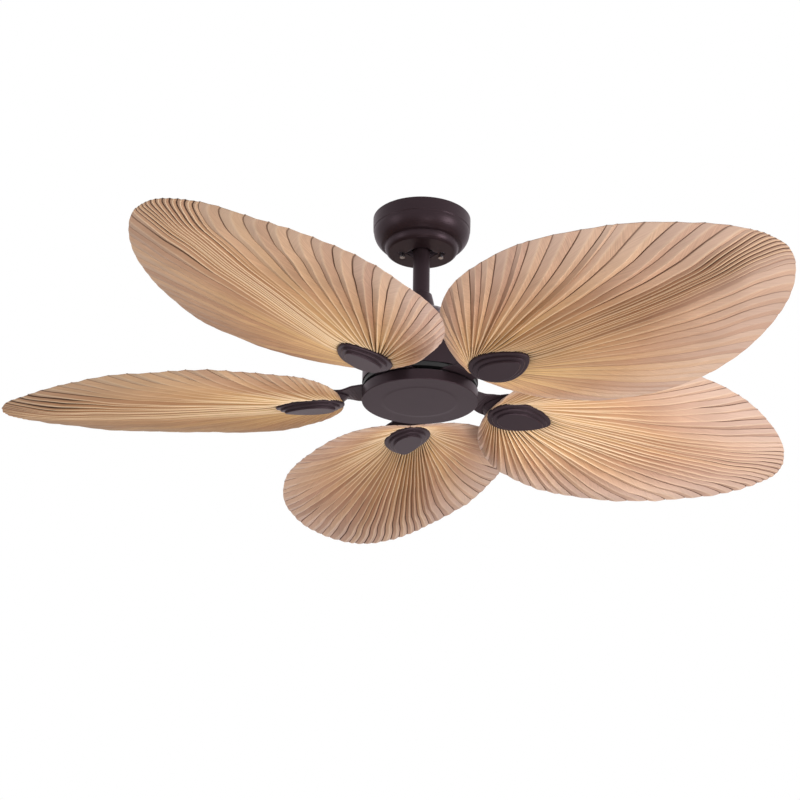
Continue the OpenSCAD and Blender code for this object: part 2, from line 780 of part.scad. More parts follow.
module shaft_nut() {
    color(steel) translate([0, 0, carrier_z - washer_t - nut_t]) difference() {
        cylinder(r = nut_r, h = nut_t, $fn = 6);
        translate([0, 0, -eps]) cylinder(r = thread_r + fit_gap, h = nut_t + 2 * eps);
    }
}

// Half outline of the hub plate from its rim in to its centre
function hub_plate_line() = let (r = housing_r, centre_r = hub_centre_d / 2)
    concat(
        [[r, hub_plate_h]],
        arc(r - hub_bevel, hub_bevel + hub_step, hub_bevel, hub_bevel, 0, -90, 4),
        [[centre_r + 4, hub_step * 0.7], [centre_r + 1, hub_step * 0.45], [centre_r - 2, 0], [0, 0]]);

// Pan with inward hooks that turn over the carrier
module hub_plate() {
    color(bronze) {
        translate([0, 0, low_z]) rotate_extrude($fn = 96) polygon(walled(hub_plate_line(), -hub_plate_wall));
        around(hooks, hook_turn) translate([0, 0, carrier_top_z + fit_gap]) intersection() {
            translate([hub_inner_r - hook_l, -hook_w / 2, 0]) cube([hook_l + hub_plate_wall, hook_w, hook_t]);
            cylinder(r = housing_r - hub_plate_wall / 2, h = hook_t);
        }
    }
}

// ---- arms, leaves and caps ----

// The three screw places in an arm's root
module arm_screw_places() {
    translate([arm_screw_in, 0, 0]) children();
    for (side = [-1, 1]) translate([arm_screw_out, side * arm_screw_y, 0]) children();
}

// The three screw places through the leaf's heart
module leaf_screw_places() {
    for (i = [0:2]) translate([leaf_screw_x[i], leaf_screw_y[i], 0]) children();
}

// A point of the leaf's frame, seen from the arm's own axes
function from_leaf(p) = let (
    y = p[1] * cos(leaf_pitch) + p[2] * sin(leaf_pitch),
    z = p[2] * cos(leaf_pitch) - p[1] * sin(leaf_pitch))
    [p[0] * cos(leaf_droop) + z * sin(leaf_droop), y,
        low_z + leaf_rise + z * cos(leaf_droop) - p[0] * sin(leaf_droop)];

// A solid through egg-shaped loops, each [length, width, centre, height], from the highest loop down
module egg_stack(loops) {
    n = 32;
    points = [for (l = loops) for (i = [0:n - 1])
        let (e = cap_egg(l[0], l[1], 360 * i / n))
            [l[2] + e[0], e[1], l[3]]];
    walls = [for (r = [0:len(loops) - 2]) for (i = [0:n - 1]) let (
        a = r * n + i, b = r * n + (i + 1) % n)
        each [[a, b, b + n], [a, b + n, a + n]]];
    ends = [[for (i = [n - 1:-1:0]) i], [for (i = [0:n - 1]) (len(loops) - 1) * n + i]];
    polyhedron(points = points, faces = concat(walls, ends), convexity = 4);
}

// The arm's outline as [distance from the shaft, half width]: root, twist, then the holder's egg
function arm_stations() = let (root = arm_root_w / 2, neck = arm_neck_w / 2)
    concat(
        [[arm_inner, root * 0.72], [arm_inner + 8, root], [arm_bend - 14, root]],
        [for (i = [0:5]) [arm_bend + (arm_land - arm_bend) * i / 5, neck]],
        [for (a = [138:-12:6])
            let (e = cap_egg(holder_l, holder_w, a)) [holder_x + e[0], max(e[1], 3)]]);

// A corner of the arm: flat at the root, turning into the leaf's pitch between bend and landing
function arm_point(x, y, z) = let (
    run = min(1, max(0, (x - arm_bend) / (arm_land - arm_bend))),
    turn = run * run * (3 - 2 * run))
    (1 - turn) * [x, y, arm_z + z] + turn * from_leaf([x, y, arm_lift + z]);

// The arm's plate, from the flywheel to the far end of the holder
module arm_plate() {
    stations = arm_stations();
    n = len(stations);
    points = [for (s = stations) each [
        arm_point(s[0], -s[1], 0), arm_point(s[0], s[1], 0),
        arm_point(s[0], s[1], arm_t), arm_point(s[0], -s[1], arm_t)]];
    walls = [for (i = [0:n - 2]) for (c = [0:3]) let (a = 4 * i + c, b = 4 * i + (c + 1) % 4)
        each [[a, b + 4, b], [a, a + 4, b + 4]]];
    ends = [[0, 1, 2], [0, 2, 3], [4 * n - 4, 4 * n - 2, 4 * n - 3], [4 * n - 4, 4 * n - 1, 4 * n - 2]];
    polyhedron(points = points, faces = concat(walls, ends), convexity = 4);
}

// The hollow holder under the plate, narrowing down to the leaf, with a post at each screw
module holder() {
    top = 0.97;
    foot = 0.98;
    difference() {
        egg_stack([
            [holder_l * top, holder_w * top, holder_x, arm_lift + arm_t / 2],
            [holder_l * top, holder_w * top, holder_x, arm_lift - 2],
            [cap_l * foot, cap_w * foot, cap_centre, heart_t / 2]]);
        egg_stack([
            [cap_l * foot - 2 * holder_wall, cap_w * foot - 2 * holder_wall, cap_centre, arm_lift],
            [cap_l * foot - 2 * holder_wall, cap_w * foot - 2 * holder_wall, cap_centre, heart_t / 2 - eps]]);
    }
    leaf_screw_places() translate([0, 0, heart_t / 2])
        cylinder(r = holder_post_r, h = holder_h + eps, $fn = 16);
}

module blade_arm(k) {
    color(bronze) at_blade(k) difference() {
        union() {
            arm_plate();
            in_leaf_frame() holder();
        }
        arm_screw_places() translate([0, 0, arm_z - eps]) cylinder(r = screw_hole_r, h = arm_t + 2 * eps);
        in_leaf_frame() leaf_screw_places() translate([0, 0, heart_t / 2 - eps])
            cylinder(r = screw_hole_r, h = holder_h + arm_t + 2 * eps);
    }
}

module arm_screws() {
    color(steel) for (k = [1:blades]) at_blade(k) arm_screw_places()
        translate([0, 0, arm_z]) rotate([180, 0, 0]) screw(arm_t + flywheel_t - 0.5);
}

// Middle of the leaf at line i, a given share out from cap to edge (below 0: inside the cap)
function leaf_point_at(i, lines, share, scale_in) = let (
    a = 360 * i / lines,
    leaf_l = tip_r - leaf_inner,
    ridge = (i % 2 == 0) ? 1 : -1,
    reach = 1 + scallop * ridge,
    near = [cap_centre, 0] + cap_egg(cap_l * scale_in, cap_w * scale_in, a),
    edge = [leaf_inner + leaf_l / 2, 0] + reach * leaf_egg(leaf_l, leaf_w, a))
    near + share * (edge - near);

// How far the leaf is free of the arm at parameter a: 0 under the arm's neck, 1 elsewhere
function leaf_free(a) = 1 - pow(max(0, -cos(a)), 6);

// The four rings of the leaf: [share of the way to the edge, share of the cap, half-height, cup]
function leaf_rings() = [
    [0, heart_scale, 0, 0],
    [0, rim_scale, pleat_h * 0.12, 0],
    [deep_share, rim_scale, pleat_h, 0.45],
    [1, rim_scale, pleat_edge_h, 1]];

// One face of the leaf, lifted by h: every ring's points in turn
function leaf_face(lines, h) = [for (r = leaf_rings()) for (i = [0:lines - 1]) let (
    free = leaf_free(360 * i / lines),
    p = leaf_point_at(i, lines, r[0], r[1]),
    ridge = (i % 2 == 0) ? 1 : -1,
    half = (r[2] == 0) ? heart_t / 2 : leaf_t / 2)
    [p[0], p[1], free * (ridge * r[2] + leaf_cup * r[3]) + h * half]];

// A pleated palm leaf: ridges and valleys that fan out from the cap, cut out where the screws pass
module leaf(k) {
    lines = 2 * pleats;
    rings = len(leaf_rings());
    face_n = lines * rings;
    points = concat(leaf_face(lines, 1), leaf_face(lines, -1));
    top = [for (r = [0:rings - 2]) for (i = [0:lines - 1]) let (
        a = r * lines + i, b = r * lines + (i + 1) % lines, c = b + lines, d = a + lines)
        each [[a, b, c], [a, c, d]]];
    bottom = [for (f = top) [f[2] + face_n, f[1] + face_n, f[0] + face_n]];
    inner = [for (i = [0:lines - 1]) let (j = (i + 1) % lines)
        each [[i, i + face_n, j + face_n], [i, j + face_n, j]]];
    last = (rings - 1) * lines;
    outer = [for (i = [0:lines - 1]) let (a = last + i, b = last + (i + 1) % lines)
        each [[a, b + face_n, a + face_n], [a, b, b + face_n]]];
    color(palm) at_blade(k) in_leaf_frame()
        polyhedron(points = points, faces = concat(top, bottom, inner, outer), convexity = 10);
}

// The cap's loops from its seat down: each tier is a wall, a bevel and a shelf that falls a little
function cap_loops() = [for (i = [0:2]) each [
    cap_loop(tier_inset * i, tier_h * i + (i == 0 ? 0 : shelf_fall)),
    cap_loop(tier_inset * i, tier_h * (i + 1) - tier_bevel),
    cap_loop(tier_inset * i + tier_bevel, tier_h * (i + 1))]];

// One loop of the cap, at an inset from its outline and a depth under its seat
function cap_loop(inset, depth) =
    [cap_l - 2 * inset, cap_w - 2 * inset, cap_centre, -heart_t / 2 - depth];

// Three stepped tiers under the leaf, with blind screw holes from above
module leaf_cap(k) {
    color(dark_bronze) at_blade(k) in_leaf_frame() difference() {
        egg_stack(cap_loops());
        leaf_screw_places() translate([0, 0, -heart_t / 2 - cap_screw_depth])
            cylinder(r = screw_r + fit_gap, h = cap_screw_depth + eps);
    }
}

module leaf_screws() {
    color(steel) for (k = [1:blades]) at_blade(k) in_leaf_frame() leaf_screw_places()
        translate([0, 0, arm_lift + arm_t]) screw(arm_t + holder_h + heart_t + cap_screw_depth - 0.5);
}

hanger_bracket();
ground_screw();
canopy();
canopy_screws();
hanger_ball();
ball_pin();
ball_set_screw();
downrod();
coupling_cover();
motor_yoke();
yoke_pin();
pin_clip();
yoke_set_screws();
housing_screws();
motor_housing();
motor_shaft();
stator_core();
stator_windings();
capacitor();
capacitor_strap();
hub_carrier();
shaft_washer();
shaft_nut();
hub_plate();
rotor_upper_shell();
rotor_lower_shell();
rotor_ring();
rotor_screws();
upper_bearing();
lower_bearing();
retaining_rings();
flywheel();
flywheel_screws();
blade_arm(1);  // blade_arm_1
blade_arm(2);  // blade_arm_2
blade_arm(3);  // blade_arm_3
blade_arm(4);  // blade_arm_4
blade_arm(5);  // blade_arm_5
arm_screws();
leaf(1);  // leaf_1
leaf(2);  // leaf_2
leaf(3);  // leaf_3
leaf(4);  // leaf_4
leaf(5);  // leaf_5
leaf_cap(1);  // leaf_cap_1
leaf_cap(2);  // leaf_cap_2
leaf_cap(3);  // leaf_cap_3
leaf_cap(4);  // leaf_cap_4
leaf_cap(5);  // leaf_cap_5
leaf_screws();
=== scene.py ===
"""A tropical ceiling fan with five pleated palm leaves, seen from below.

Lengths are in metres, in the part's own frame: the origin is on the ceiling and +Z is up.
"""
import json
import math
from collections import namedtuple

import bpy
from mathutils import Matrix, Vector


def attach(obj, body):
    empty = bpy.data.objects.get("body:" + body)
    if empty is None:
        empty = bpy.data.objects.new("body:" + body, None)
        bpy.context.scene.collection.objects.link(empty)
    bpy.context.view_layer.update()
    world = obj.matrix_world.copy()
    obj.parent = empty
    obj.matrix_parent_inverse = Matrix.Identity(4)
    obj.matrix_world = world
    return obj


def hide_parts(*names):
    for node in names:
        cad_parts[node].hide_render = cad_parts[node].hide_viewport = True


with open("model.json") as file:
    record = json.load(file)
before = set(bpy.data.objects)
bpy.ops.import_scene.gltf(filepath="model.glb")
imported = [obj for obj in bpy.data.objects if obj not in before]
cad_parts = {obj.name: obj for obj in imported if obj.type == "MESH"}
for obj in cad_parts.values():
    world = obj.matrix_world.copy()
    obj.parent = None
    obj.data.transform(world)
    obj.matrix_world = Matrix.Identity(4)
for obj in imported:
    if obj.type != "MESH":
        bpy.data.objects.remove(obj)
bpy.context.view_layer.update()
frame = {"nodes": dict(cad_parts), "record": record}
nodes = frame["nodes"]
scene = bpy.context.scene

MM = 0.001

# ---- sizes, as in the part's source ----

SWEEP_R = 660 * MM
LOW_Z = -312 * MM           # the hub plate's lowest face
ROTOR_TURN = 97.1           # compass turn of leaf 1, in degrees
LEAF_INNER = 114 * MM       # from the shaft to a leaf's root
LEAF_W = 379 * MM
LEAF_TAPER = 0.21
LEAF_POINT = 1.13
LEAF_PITCH = 10.4           # degrees
LEAF_DROOP = 0.4            # degrees
LEAF_RISE = 9.9 * MM
LEAF_CUP = 8 * MM
PLEATS = 60
CLAMP = 170 * MM            # from the shaft to the middle of a leaf's cap
CAP_L = 107 * MM
CAP_W = 72 * MM
CAP_TAPER = 0.26
CAP_POINT = 1.2

# ---- sizes of the leaves' folds ----

LEAF_T = 0.9 * MM
TWIST_R = 400 * MM          # from the shaft to where a leaf has its mean pitch
LEAF_TWIST = 0.815          # degrees more pitch for each TWIST_R outwards
RIB_L = 280 * MM            # a usual rib, from cap to edge
FOLD_H = 4.2 * MM           # where a fold is deepest
HEART_SIZE = 0.72           # the flat heart's outline, as a share of the cap's
RIM_SIZE = 0.97             # where the folds start, as a share of the cap's outline
ROWS = 96                   # rows of points from the heart to the edge
FOLD_STEPS = 8              # columns of points across one fold
HEART_SHARE = 0.05          # share of the rows that lie flat under the cap
BELLY = -7 * MM             # height of a rib's middle above a straight line
WAVE = 5 * MM               # most that the leaf's slow waves rise or fall
CROWD = 0.3                 # how strongly the ribs beside the tip crowd together
HOOK = -17 * MM             # their hook before the tip, at a crowding of 1, + towards the trailing edge
PINCH = 2                   # how far they draw together further in, as a multiple of the hook
UNEVEN = 0.014              # most that a rib's end strays, as a share of the edge
RIDGE_REACH = 0.002         # how far a ridge reaches past its creases, as a share of the rib
TORN = 0.003                # most that a fold's torn end reaches further, as a share of the rib
CURL_PEAK = 4.8             # brings the top of a curled root to the curl's own height
CURL_BACK = 1.5             # how far a curled root draws back, as a multiple of its height
JOINED = 0.02 * MM          # points that are closer than this become one
CRISP = 24                  # degrees, past which an edge between two faces isn't smoothed
PLACES = 6                  # a place runs from 0 to 6: a leaf's number plus the share of the way round it

# How each leaf departs from the mean leaf, as natural leaves do.
# turn, pitch, slope: degrees, + towards the leading edge, + steeper, + up
# longer, wider: shares of the length and the width
# root: how far out the root's edge moves, mm
# leading_bow, trailing_bow: bow of the folds on that side, mm, + towards the trailing edge
# crowd: share of the crowding at the tip
# crowd_shift: its shift round the tip, thousandths of the edge, + towards the trailing edge
# curl: height of the curl on the root's trailing side, mm
Habit = namedtuple("Habit", "turn pitch slope longer wider root leading_bow trailing_bow"
                            " crowd crowd_shift curl")
LEAF_HABIT = {
    1: Habit(0.77, -0.35, -1.29, 0.028, -0.026, 3, 8, 5, 0.5, 0, 4),
    2: Habit(-1.41, 1.90, -0.84, -0.009, -0.026, 3, 8, 3, 0.8, 0, 0),
    3: Habit(0.67, 0.82, -0.11, 0.026, -0.004, 2, 10, 1, 1.1, -1, 4),
    4: Habit(1.65, -0.67, 1.19, -0.013, -0.004, 2, 4, -7, 1.0, 6, -2),
    5: Habit(-0.94, -1.57, 1.20, -0.003, 0.004, 8, 4, -12, 1.0, 8, 5),
}


# ---- camera ----

AIM = Vector((0, 0, -310.7 * MM))
DISTANCE = 2760.8 * MM
LOOK_UP = math.radians(23.04)
ROLL = math.radians(0.66)
IMAGE = 800                 # pixels across
FOCAL = 1837.2              # pixels
AIM_AT = (419.88, 401.49)   # where the aim falls in the image

ahead = Vector((0, math.cos(LOOK_UP), math.sin(LOOK_UP)))
above = Vector((0, -ahead.z, ahead.y))
facing = Matrix((Vector((1, 0, 0)), above, -ahead)).transposed().to_4x4()
camera = bpy.data.objects.new("camera", bpy.data.cameras.new("camera"))
scene.collection.objects.link(camera)
scene.camera = camera
camera.data.sensor_width = 36
camera.data.lens = FOCAL / IMAGE * camera.data.sensor_width
camera.data.shift_x = (IMAGE / 2 - AIM_AT[0]) / IMAGE
camera.data.shift_y = (AIM_AT[1] - IMAGE / 2) / IMAGE
camera.matrix_world = Matrix.Translation(AIM - ahead * DISTANCE) @ facing @ Matrix.Rotation(ROLL, 4, "Z")


# ---- small helpers ----

def linear(hex_colour):
    """An sRGB hex colour as linear RGBA."""
    parts = [int(hex_colour[i:i + 2], 16) / 255 for i in (1, 3, 5)]
    return [c / 12.92 if c <= 0.04045 else ((c + 0.055) / 1.055) ** 2.4 for c in parts] + [1]


def add(tree, kind, inputs=None, points=(), handles="VECTOR", **settings):
    """Adds a node with its settings and, on a curve, its points.

    Each input is a value, or the socket that it's linked from, or a node for that node's first output."""
    node = tree.nodes.new(kind)
    for name, value in settings.items():
        setattr(node, name, value)
    for key, value in (inputs or {}).items():
        if isinstance(value, bpy.types.Node):
            value = value.outputs[0]
        if isinstance(value, bpy.types.NodeSocket):
            tree.links.new(value, node.inputs[key])
        else:
            node.inputs[key].default_value = value
    if points:
        curve = node.mapping.curves[0]
        curve.points[0].location = points[0]
        curve.points[1].location = points[-1]
        for p in points[1:-1]:
            curve.points.new(*p)
        for p in curve.points:
            p.handle_type = handles
        node.mapping.update()
    return node


def new_object(name, data):
    """An object that is linked into the scene."""
    obj = bpy.data.objects.new(name, data)
    scene.collection.objects.link(obj)
    return obj


def egg(length, width, a, taper, point):
    """Egg-shaped outline about the origin, blunt towards -X, at angle a."""
    s = math.sin(a)
    return Vector((length / 2 * math.cos(a),
                   width / 2 * math.copysign(abs(s) ** point, s) * (1 - taper * math.cos(a)), 0))


def leaf_frame(k):
    """The clamped heart of leaf k: X out along the arm, leading edge towards -Y."""
    turn = ROTOR_TURN - 360 / len(LEAF_HABIT) * (k - 1)
    return (Matrix.Rotation(math.radians(turn), 4, "Z")
            @ Matrix.Translation((0, 0, LOW_Z + LEAF_RISE))
            @ Matrix.Rotation(math.radians(LEAF_DROOP), 4, "Y")
            @ Matrix.Rotation(math.radians(-LEAF_PITCH), 4, "X"))


def over_leaves(tree, place, spots):
    """A level that goes from spot to spot, each a place and the level there."""
    share = add(tree, "ShaderNodeMath", {0: place, 1: PLACES}, operation="DIVIDE")
    return add(tree, "ShaderNodeFloatCurve", {"Value": share}, points=[(x / PLACES, y) for x, y in spots])


def liveliness(tree, place):
    """How lively the folds are at a place.

    Leaves 1 and 2 are lively all round, and each of the others has one calm side."""
    most = 1.35
    spots = [(0, most), (2.98, most), (3, 1), (3.04, 1), (3.12, 0.3), (3.42, 0.3), (3.5, 1), (4.42, 1),
             (4.48, 0.5), (4.56, 0.3), (4.8, 0.3), (4.86, 1), (5.5, 1), (5.56, 0.4), (5.82, 0.4), (5.88, 1),
             (6, 1)]
    share = over_leaves(tree, place, [(x, y / most) for x, y in spots])
    return add(tree, "ShaderNodeMath", {0: share, 1: most}, operation="MULTIPLY")


# ---- materials ----

def new_material(name):
    """A new material with its node tree and its shader."""
    material = bpy.data.materials.new(name)
    material.use_nodes = True
    tree = material.node_tree
    return material, tree, tree.nodes["Principled BSDF"]


def bronze_powder_coat():
    """Bronze powder coat: a fine grain breaks up the satin sheen, and the tone wanders a little."""
    material, tree, shader = new_material("bronze_powder_coat")
    roughness = 0.38
    where = add(tree, "ShaderNodeTexCoord").outputs["Object"]
    cloud = add(tree, "ShaderNodeTexNoise", {"Vector": where, "Scale": 1 / (55.6 * MM), "Detail": 3})
    tone = add(tree, "ShaderNodeMix", {"Factor": cloud, "A": linear("#35292d"), "B": linear("#2c2226")},
               data_type="RGBA")
    # the powder's grain is about 0.3 mm across, drawn here at 1.2 mm so that it shows
    grain = add(tree, "ShaderNodeTexNoise", {"Vector": where, "Scale": 1 / (1.2 * MM), "Detail": 2})
    # the coat looks 1.2 mm round at every edge, so that the edges catch the light
    edge = add(tree, "ShaderNodeBevel", {"Radius": 1.2 * MM}, samples=6)
    bump = add(tree, "ShaderNodeBump", {"Height": grain, "Strength": 0.12, "Distance": 0.1 * MM,
                                        "Normal": edge})
    rough = add(tree, "ShaderNodeMapRange", {"Value": grain, "To Min": roughness - 0.05,
                                             "To Max": roughness + 0.06})
    tree.links.new(tone.outputs["Result"], shader.inputs["Base Color"])
    tree.links.new(rough.outputs["Result"], shader.inputs["Roughness"])
    tree.links.new(bump.outputs["Normal"], shader.inputs["Normal"])
    shader.inputs["Metallic"].default_value = 0.2
    shader.inputs["Specular IOR Level"].default_value = 0.24
    shader.inputs["Specular Tint"].default_value = linear("#ffdff0")
    return material


def worked_metal(name, colour, dark, roughness, metallic=1.0):
    """Bare or plated metal: a faintly cloudy tone, and a sheen broken by fine marks."""
    material, tree, shader = new_material(name)
    where = add(tree, "ShaderNodeTexCoord").outputs["Object"]
    cloud = add(tree, "ShaderNodeTexNoise", {"Vector": where, "Scale": 1 / (16.7 * MM), "Detail": 4})
    tone = add(tree, "ShaderNodeMix", {"Factor": cloud, "A": linear(colour), "B": linear(dark)},
               data_type="RGBA")
    # the marks are a few tenths of a millimetre wide, drawn here at 2.5 mm so that they show
    marks = add(tree, "ShaderNodeTexNoise", {"Vector": where, "Scale": 1 / (2.5 * MM), "Detail": 5})
    rough = add(tree, "ShaderNodeMapRange", {"Value": marks, "To Min": roughness - 0.08,
                                             "To Max": roughness + 0.1})
    tree.links.new(tone.outputs["Result"], shader.inputs["Base Color"])
    tree.links.new(rough.outputs["Result"], shader.inputs["Roughness"])
    shader.inputs["Metallic"].default_value = metallic
    return material


def moulded_plastic(name, colour, roughness):
    """Moulded plastic: an even colour under a faint moulding texture, 0.8 mm across."""
    material, tree, shader = new_material(name)
    where = add(tree, "ShaderNodeTexCoord").outputs["Object"]
    grain = add(tree, "ShaderNodeTexNoise", {"Vector": where, "Scale": 1 / (0.8 * MM), "Detail": 2})
    bump = add(tree, "ShaderNodeBump", {"Height": grain, "Strength": 0.1, "Distance": 0.05 * MM})
    value = add(tree, "ShaderNodeMapRange", {"Value": grain, "To Min": 0.94, "To Max": 1.04})
    shade = add(tree, "ShaderNodeHueSaturation", {"Color": linear(colour), "Value": value})
    tree.links.new(shade.outputs["Color"], shader.inputs["Base Color"])
    tree.links.new(bump.outputs["Normal"], shader.inputs["Normal"])
    shader.inputs["Roughness"].default_value = roughness
    return material


def leaf_veins(tree, out, number, away):
    """The veins that slant away from each ridge, about 1 mm apart, drawn 2 mm apart so that they show."""
    vein_gap = 2 * MM
    # changes of tone across a fold, and along a rib
    across_fold = 26
    along_rib = 5
    slant = add(tree, "ShaderNodeMath", {0: out, 1: RIB_L / vein_gap}, operation="MULTIPLY")
    across = add(tree, "ShaderNodeMath", {0: away, 1: across_fold, 2: slant}, operation="MULTIPLY_ADD")
    along = add(tree, "ShaderNodeMath", {0: out, 1: along_rib, 2: number}, operation="MULTIPLY_ADD")
    where = add(tree, "ShaderNodeCombineXYZ", {"X": across, "Y": along})
    return add(tree, "ShaderNodeTexNoise", {"Vector": where, "Scale": 1, "Detail": 3}, noise_dimensions="2D")


def leaf_tan(tree, place, out, number, phase, veins):
    """The blade's colour: tan near the cap, pinker towards the edge, each fold a little different."""
    ground = add(tree, "ShaderNodeValToRGB", {"Fac": out})
    stops = ground.color_ramp.elements
    stops[0].position, stops[0].color = 0.03, linear("#cfa675")
    stops[1].position, stops[1].color = 0.5, linear("#bd9372")
    far = stops.new(1.0)
    far.color = linear("#c3a08c")
    own = add(tree, "ShaderNodeTexWhiteNoise", {"W": number}, noise_dimensions="1D")
    where = add(tree, "ShaderNodeTexCoord").outputs["Object"]
    blotch = add(tree, "ShaderNodeTexNoise", {"Vector": where, "Scale": 1 / (71.4 * MM), "Detail": 3})
    value = add(tree, "ShaderNodeMapRange", {"Value": own, "To Min": 0.83, "To Max": 1.07})
    for noise, low, high, least, most in ((veins, 0.25, 0.75, 0.83, 1.13), (blotch, 0.3, 0.7, 0.93, 1.06)):
        level = add(tree, "ShaderNodeMapRange", {"Value": noise, "From Min": low, "From Max": high,
                                                 "To Min": least, "To Max": most})
        value = add(tree, "ShaderNodeMath", {0: value, 1: level}, operation="MULTIPLY")
    hue = add(tree, "ShaderNodeMapRange", {"Value": own, "To Min": 0.492, "To Max": 0.504})
    tan = add(tree, "ShaderNodeHueSaturation", {"Color": ground, "Value": value, "Hue": hue}).outputs["Color"]
    # painted light: far out, one flank of a fold is tinted a lighter grey, as if lit from another side
    flank_light = add(tree, "ShaderNodeMapRange", {"Value": phase, "From Min": 0.46, "From Max": 0.54,
                                             "To Min": 0.45, "To Max": 0})
    far_out = add(tree, "ShaderNodeMapRange", {"Value": out, "From Min": 0.5, "From Max": 0.95})
    flank_light = add(tree, "ShaderNodeMath", {0: flank_light, 1: far_out}, operation="MULTIPLY")
    tan = add(tree, "ShaderNodeMix", {"Factor": flank_light, "A": tan, "B": linear("#c0a89d")},
              data_type="RGBA").outputs["Result"]
    # each leaf is browned by its own amount, leaf 4 not at all from its trailing side's middle to its root
    brown = over_leaves(tree, place, [
        (0, 0.1), (2.99, 0.05), (3.01, 0.3), (3.99, 0.3), (4.01, 0.7), (4.14, 0.6), (4.24, 0), (4.53, 0),
        (4.6, 0.5), (4.99, 0.7), (5.01, 1), (6, 1)])
    return add(tree, "ShaderNodeMix", {"Factor": brown, "A": tan, "B": linear("#efebd7")},
               data_type="RGBA", blend_type="MULTIPLY").outputs["Result"]


def crowded_folds(tree, place, out):
    """Where the folds crowd together beside each leaf's tip."""
    beside = over_leaves(tree, place, [
        (0, 0), (0.98, 0), (1, 0.4), (1.05, 0.3), (1.08, 0), (1.86, 0), (1.9, 0.4), (2.05, 0.3), (2.08, 0),
        (2.87, 0), (2.9, 0.4), (3, 0.5), (3.05, 0), (3.86, 0), (3.89, 1), (4, 1), (4.03, 1), (4.05, 0),
        (4.84, 0), (4.87, 1), (5.09, 1), (5.13, 0), (5.87, 0), (5.9, 1), (6, 1)])
    outwards = add(tree, "ShaderNodeFloatCurve", {"Value": out}, points=[
        (0, 0), (0.15, 0), (0.45, 0.7), (0.6, 1), (0.85, 1), (0.95, 0.7), (1, 0.6)])
    return add(tree, "ShaderNodeMath", {0: beside, 1: outwards}, operation="MULTIPLY")


def crease_shade_share(tree, out, number, away, lively, crowded):
    """The painted shade along a crease: wide where it goes in under the cap, thin and patchy further out."""
    width = add(tree, "ShaderNodeMapRange", {"Value": out, "From Min": 0.05, "From Max": 0.27,
                                             "To Min": 0.46, "To Max": 0.055})
    width = add(tree, "ShaderNodeMath", {0: crowded, 1: 0.22, 2: width}, operation="MULTIPLY_ADD")
    starts = add(tree, "ShaderNodeMath", {0: width, 1: -1, 2: 0.5}, operation="MULTIPLY_ADD")
    full = add(tree, "ShaderNodeMath", {0: width, 1: -0.35, 2: 0.5}, operation="MULTIPLY_ADD")
    crease = add(tree, "ShaderNodeMapRange", {"Value": away, "From Min": starts, "From Max": full})
    depth = add(tree, "ShaderNodeFloatCurve", {"Value": out}, points=[
        (0, 1), (0.14, 1), (0.4, 0.7), (0.65, 0.7), (0.86, 0.95), (1, 0.6)])
    depth = add(tree, "ShaderNodeMath", {0: depth, 1: lively}, operation="MULTIPLY")
    depth = add(tree, "ShaderNodeMath", {0: crowded, 1: 0.8, 2: depth}, operation="MULTIPLY_ADD")
    # about three patches along each crease
    patches = add(tree, "ShaderNodeMath", {0: out, 1: 3}, operation="MULTIPLY")
    patches = add(tree, "ShaderNodeCombineXYZ", {"X": number, "Y": patches})
    patchy = add(tree, "ShaderNodeTexNoise", {"Vector": patches, "Scale": 1, "Detail": 1},
                 noise_dimensions="2D")
    patchy = add(tree, "ShaderNodeMapRange", {"Value": patchy, "From Min": 0.3, "From Max": 0.7,
                                              "To Min": 0.4, "To Max": 1.7})
    depth = add(tree, "ShaderNodeMath", {0: depth, 1: patchy}, operation="MULTIPLY", use_clamp=True)
    return add(tree, "ShaderNodeMath", {0: crease, 1: depth}, operation="MULTIPLY")


def ridge_highlight_share(tree, out, away, lively, crowded):
    """The painted highlight along a ridge, strongest near the cap and where the folds crowd."""
    pale = add(tree, "ShaderNodeMapRange", {"Value": out, "From Min": 0.1, "From Max": 0.6, "To Min": 1,
                                            "To Max": 0.15})
    pale = add(tree, "ShaderNodeMath", {0: pale, 1: lively}, operation="MULTIPLY")
    pale = add(tree, "ShaderNodeMath", {0: crowded, 1: 0.6, 2: pale}, operation="MULTIPLY_ADD",
               use_clamp=True)
    return add(tree, "ShaderNodeMapRange", {"Value": away, "From Min": 0.02, "From Max": 0.11,
                                            "To Min": pale, "To Max": 0})


